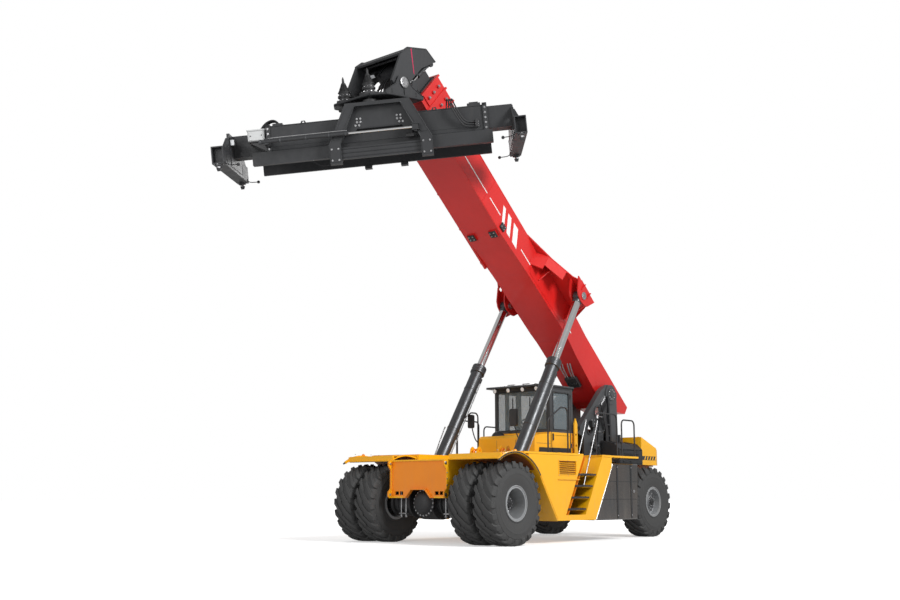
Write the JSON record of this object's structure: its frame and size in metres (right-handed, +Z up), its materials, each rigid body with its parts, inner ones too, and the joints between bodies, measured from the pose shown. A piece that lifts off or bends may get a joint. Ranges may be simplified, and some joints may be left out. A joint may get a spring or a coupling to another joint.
{
  "type": "reach stacker",
  "caption": "Reach stacker: four-wheel chassis with twin front tyres, cab, telescopic boom raised by two cylinders, and a turning, telescopic container load frame",
  "frame": {"origin": "on the ground, below the middle of the whole machine's box in the parked pose", "axes": "+X forward, +Y to the driver's left, +Z up"},
  "size_m": [11.8549, 6.2561, 9.9936],
  "materials": {
    "axle_iron": "matte",
    "black_plastic": "matte",
    "chrome_rod": "polished",
    "cylinder_paint": "satin",
    "dark_paint": "satin",
    "grey_paint": "satin",
    "red_paint": "gloss",
    "rim_paint": "satin",
    "seat_fabric": "matte",
    "tinted_glass": "polished",
    "tyre_rubber": "matte",
    "yellow_paint": "gloss"
  },
  "bodies": {
    "chassis": {"main_frame": "yellow_paint", "front_plate": "yellow_paint", "front_axle": "axle_iron", "rear_axle": "axle_iron", "front_left_fender": "yellow_paint", "front_right_fender": "yellow_paint", "left_side_body": "yellow_paint", "right_side_body": "yellow_paint", "stair_treads": "dark_paint", "fuel_tank": "dark_paint", "hydraulic_tank": "dark_paint", "deck_plates": "yellow_paint", "boom_tower": "grey_paint", "engine_block": "grey_paint", "engine_hood": "grey_paint", "counterweight": "yellow_paint", "cab_tub": "yellow_paint", "cab_frame": "dark_paint", "cab_glass": "tinted_glass", "cab_roof": "dark_paint", "cab_seat": "seat_fabric", "cab_controls": "black_plastic", "handrails": "dark_paint", "door_post": "yellow_paint"},
    "front_left_wheels": {"front_left_tyres": "tyre_rubber", "front_left_rims": "rim_paint"},
    "front_right_wheels": {"front_right_tyres": "tyre_rubber", "front_right_rims": "rim_paint"},
    "left_steered_stub": {"left_knuckle": "axle_iron"},
    "right_steered_stub": {"right_knuckle": "axle_iron"},
    "rear_left_wheel": {"rear_left_tyre": "tyre_rubber", "rear_left_rim": "rim_paint"},
    "rear_right_wheel": {"rear_right_tyre": "tyre_rubber", "rear_right_rim": "rim_paint"},
    "boom": {"boom_outer": "red_paint", "boom_collar": "red_paint", "lift_wings": "red_paint"},
    "inner_boom": {"boom_inner": "dark_paint", "boom_head": "dark_paint"},
    "yoke": {"yoke": "dark_paint", "slew_drive": "dark_paint"},
    "carrier": {"spreader_carrier": "dark_paint"},
    "load_frame": {"spreader_beam": "dark_paint", "rear_slide_rail": "dark_paint"},
    "left_arm": {"left_arm": "dark_paint"},
    "right_arm": {"right_arm": "dark_paint"},
    "lift_barrels": {"lift_barrels": "cylinder_paint"},
    "lift_rods": {"lift_rods": "chrome_rod"},
    "damper_barrels": {"damper_barrels": "cylinder_paint"},
    "damper_rods": {"damper_rods": "chrome_rod"},
    "cab_door": {"cab_door": "dark_paint", "cab_door_glass": "tinted_glass"},
    "hood_door": {"left_hood_door": "grey_paint"}
  },
  "joints": [
    {"name": "front_left_wheel", "type": "hinge", "parent": "chassis", "child": "front_left_wheels", "pos_m": [1.3725, 1.7056, 0.8], "axis": [0, 1, 0], "continuous": true},
    {"name": "front_right_wheel", "type": "hinge", "parent": "chassis", "child": "front_right_wheels", "pos_m": [1.3725, -1.3944, 0.8], "axis": [0, 1, 0], "continuous": true},
    {"name": "left_steering", "type": "hinge", "parent": "chassis", "child": "left_steered_stub", "pos_m": [-4.6275, 1.2056, 0.8], "axis": [0, 0, 1], "range_deg": [-40, 40]},
    {"name": "right_steering", "type": "hinge", "parent": "chassis", "child": "right_steered_stub", "pos_m": [-4.6275, -0.8944, 0.8], "axis": [0, 0, 1], "range_deg": [-40, 40]},
    {"name": "rear_left_wheel", "type": "hinge", "parent": "left_steered_stub", "child": "rear_left_wheel", "pos_m": [-4.6275, 1.5356, 0.8], "axis": [0, 1, 0], "continuous": true},
    {"name": "rear_right_wheel", "type": "hinge", "parent": "right_steered_stub", "child": "rear_right_wheel", "pos_m": [-4.6275, -1.2244, 0.8], "axis": [0, 1, 0], "continuous": true},
    {"name": "boom_lift", "type": "hinge", "parent": "chassis", "child": "boom", "pos_m": [-4.5275, 0.1556, 3.36], "axis": [0, -1, 0], "range_deg": [-32.7, 19.3]},
    {"name": "boom_extension", "type": "slide", "parent": "boom", "child": "inner_boom", "axis": [0.7581, 0, 0.6521], "range_m": [0, 5.2]},
    {"name": "yoke_tilt", "type": "hinge", "parent": "inner_boom", "child": "yoke", "pos_m": [3.14641, 0.1556, 9.03728], "axis": [0, 1, 0], "range_deg": [-41.6, 10.4]},
    {"name": "slewing", "type": "hinge", "parent": "yoke", "child": "carrier", "pos_m": [3.14641, 0.1556, 9.03728], "axis": [0.1547, 0, 0.988], "range_deg": [-86.9, 9.1]},
    {"name": "side_shift", "type": "slide", "parent": "carrier", "child": "load_frame", "axis": [-0.6204, 0.7782, 0.0972], "range_m": [-0.6, 1]},
    {"name": "left_arm_extension", "type": "slide", "parent": "load_frame", "child": "left_arm", "axis": [-0.6204, 0.7782, 0.0972], "range_m": [0, 3.06]},
    {"name": "right_arm_extension", "type": "slide", "parent": "load_frame", "child": "right_arm", "axis": [0.6204, -0.7782, -0.0972], "range_m": [0, 3.06]},
    {"name": "lift_cylinder_swing", "type": "hinge", "parent": "chassis", "child": "lift_barrels", "pos_m": [0.2525, 0.1556, 1.25], "axis": [0, -1, 0], "range_deg": [-1.47, 1.03]},
    {"name": "lift_cylinder_stroke", "type": "slide", "parent": "lift_barrels", "child": "lift_rods", "axis": [-0.5462, 0, 0.8376], "range_m": [-1.6363, 0.9674]},
    {"name": "damper_swing", "type": "hinge", "parent": "inner_boom", "child": "damper_barrels", "pos_m": [2.20152, 0.1556, 9.75858], "axis": [0, -1, 0], "range_deg": [-16.63, 4.46]},
    {"name": "damper_stroke", "type": "slide", "parent": "damper_barrels", "child": "damper_rods", "axis": [0.6777, 0, -0.7353], "range_m": [-0.0641, 0.2444]},
    {"name": "cab_door", "type": "hinge", "parent": "chassis", "child": "cab_door", "pos_m": [-2.4655, 0.9376, 2.6], "axis": [0, 0, 1], "range_deg": [0, 95]},
    {"name": "hood_door", "type": "hinge", "parent": "chassis", "child": "hood_door", "pos_m": [-4.4725, 1.2946, 2], "axis": [1, 0, 0], "range_deg": [0, 80]}
  ],
  "couplings": [
    {"joint": "right_steering", "follows": "left_steering", "ratio": 1},
    {"joint": "lift_cylinder_swing", "follows": "boom_lift", "ratio": 0.0326},
    {"joint": "lift_cylinder_stroke", "follows": "boom_lift", "m_per_rad": 2.86},
    {"joint": "damper_swing", "follows": "yoke_tilt", "ratio": 0.3901},
    {"joint": "damper_stroke", "follows": "yoke_tilt", "m_per_rad": -0.33114},
    {"joint": "right_arm_extension", "follows": "left_arm_extension", "ratio": 1}
  ]
}
